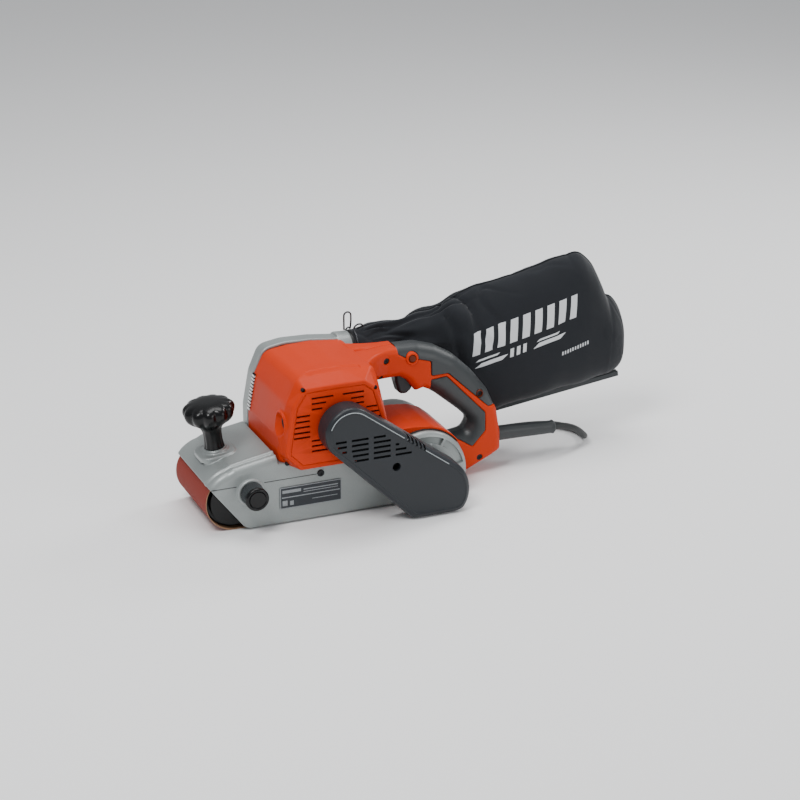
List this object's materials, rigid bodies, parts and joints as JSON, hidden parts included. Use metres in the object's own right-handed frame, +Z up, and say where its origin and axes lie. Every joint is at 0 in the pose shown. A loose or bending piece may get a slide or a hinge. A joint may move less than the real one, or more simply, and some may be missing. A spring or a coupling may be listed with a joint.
{
  "type": "belt sander",
  "caption": "Handheld corded belt sander with drum belt, belt-drive cover, motor housing, D-handle with soft grips, round front grip and cloth dust bag.",
  "frame": {"origin": "on the surface the sanding belt stands on, midway between the two belt drums and on the belt's centre line", "axes": "+X towards the rear handle and cord, -Y towards the belt cover and tracking knob, +Z up"},
  "size_m": [0.5349, 0.3185, 0.217],
  "materials": {
    "cast_aluminium": "satin silver-grey paint on cast aluminium",
    "orange_plastic": "orange-red moulded nylon, fine grain",
    "grey_plastic": "dark grey moulded nylon",
    "grip_rubber": "soft dark grey grip",
    "black_plastic": "black plastic",
    "bag_cloth": "near-black woven cloth",
    "abrasive": "red-brown coated abrasive cloth",
    "belt_rubber": "black rubber",
    "steel": "bright steel",
    "iron": "laminated iron",
    "copper": "copper and iron",
    "cork": "cork",
    "carbon": "pressed carbon",
    "label": "dark plate, no writing"
  },
  "bodies": {
    "tool": {"main_frame": "cast_aluminium", "platen": "steel", "cork_pad": "cork", "nameplate": "label", "sanding_belt": "abrasive", "tension_spring": "steel", "motor_housing": "orange_plastic", "brush_cap_front": "black_plastic", "brush_cap_rear": "black_plastic", "motor_end_cover": "orange_plastic", "gear_bearing_outer": "steel", "fan_housing": "cast_aluminium", "dust_nozzle": "black_plastic", "motor_bearing_near": "steel", "motor_bearing_far": "steel", "stator": "iron", "gear_bracket": "cast_aluminium", "brush_front": "carbon", "brush_rear": "carbon", "handle_near": "orange_plastic", "handle_far": "orange_plastic", "grip_outer": "grip_rubber", "grip_inner": "grip_rubber", "switch_body": "black_plastic", "handle_screw_1": "steel", "handle_screw_2": "steel", "rear_cover": "orange_plastic", "belt_cover": "grey_plastic", "cover_screw": "steel", "drum_bearing_outer": "steel", "drum_bearing_inner": "steel", "drive_belt": "belt_rubber", "front_knob": "black_plastic", "front_knob_bolt": "steel", "cord_guard": "belt_rubber", "cord": "belt_rubber", "cord_coil": "belt_rubber", "plug": "black_plastic"},
    "drum": {"drive_drum": "belt_rubber", "drum_shaft": "steel", "driven_pulley": "steel"},
    "gear": {"intermediate_gear": "steel", "intermediate_shaft": "steel", "drive_pulley": "steel"},
    "rotor": {"armature_shaft": "steel", "armature_core": "copper", "commutator": "copper", "cooling_fan": "black_plastic"},
    "carriage": {"tension_carriage": "steel"},
    "yoke": {"roller_yoke": "black_plastic", "idler_axle": "steel"},
    "front_roller": {"idler_roller": "black_plastic"},
    "lever": {"tension_lever": "steel"},
    "tracking": {"tracking_knob": "black_plastic", "tracking_screw": "steel"},
    "trigger": {"trigger": "grey_plastic"},
    "lock": {"lock_button": "grey_plastic"},
    "bag": {"dust_bag": "bag_cloth", "bag_clamp": "steel"},
    "fastener": {"bag_fastener": "black_plastic"}
  },
  "joints": [
    {"name": "drum_spin", "type": "hinge", "parent": "tool", "child": "drum", "pos_m": [0.1038, 0, 0.0315], "axis": [0, 1, 0], "continuous": true},
    {"name": "gear_spin", "type": "hinge", "parent": "tool", "child": "gear", "pos_m": [0.009, 0, 0.109], "axis": [0, 1, 0], "continuous": true},
    {"name": "rotor_spin", "type": "hinge", "parent": "tool", "child": "rotor", "pos_m": [-0.015, 0, 0.109], "axis": [0, 1, 0], "continuous": true},
    {"name": "lever_swing", "type": "hinge", "parent": "tool", "child": "lever", "pos_m": [-0.026, 0.043, 0.0315], "axis": [0, 0, 1], "range_deg": [0, 80]},
    {"name": "carriage_slide", "type": "slide", "parent": "tool", "child": "carriage", "axis": [1, 0, 0], "range_m": [0, 0.005], "deforming": ["tension_spring"]},
    {"name": "tracking_turn", "type": "hinge", "parent": "tool", "child": "tracking", "pos_m": [-0.089, 0, 0.043], "axis": [0, -1, 0], "range_deg": [0, 360]},
    {"name": "yoke_tilt", "type": "hinge", "parent": "carriage", "child": "yoke", "pos_m": [-0.064, 0, 0.0315], "axis": [0, 0, -1], "range_deg": [0, 0.5]},
    {"name": "front_roller_spin", "type": "hinge", "parent": "yoke", "child": "front_roller", "pos_m": [-0.1038, 0, 0.0315], "axis": [0, 1, 0], "continuous": true},
    {"name": "trigger_press", "type": "hinge", "parent": "tool", "child": "trigger", "pos_m": [0.112, 0, 0.131], "axis": [0, 1, 0], "range_deg": [0, 12], "stiffness_Nm_per_rad": 0.8, "springref_deg": -5.73},
    {"name": "lock_press", "type": "slide", "parent": "tool", "child": "lock", "axis": [0, 1, 0], "range_m": [0, 0.003], "stiffness_N_per_m": 600, "springref_m": -0.001},
    {"name": "bag_pull", "type": "slide", "parent": "tool", "child": "bag", "axis": [1, 0, 0], "range_m": [0, 0.035]},
    {"name": "fastener_slide", "type": "slide", "parent": "bag", "child": "fastener", "axis": [0.9919, 0, 0.1269], "range_m": [0, 0.12]}
  ],
  "couplings": [
    {"joint": "gear_spin", "follows": "drum_spin", "ratio": 2.4},
    {"joint": "rotor_spin", "follows": "drum_spin", "ratio": -9.12},
    {"joint": "front_roller_spin", "follows": "drum_spin", "ratio": 1},
    {"joint": "lever_swing", "follows": "carriage_slide", "rad_per_m": 279.25},
    {"joint": "yoke_tilt", "follows": "tracking_turn", "ratio": 0.0013888}
  ]
}
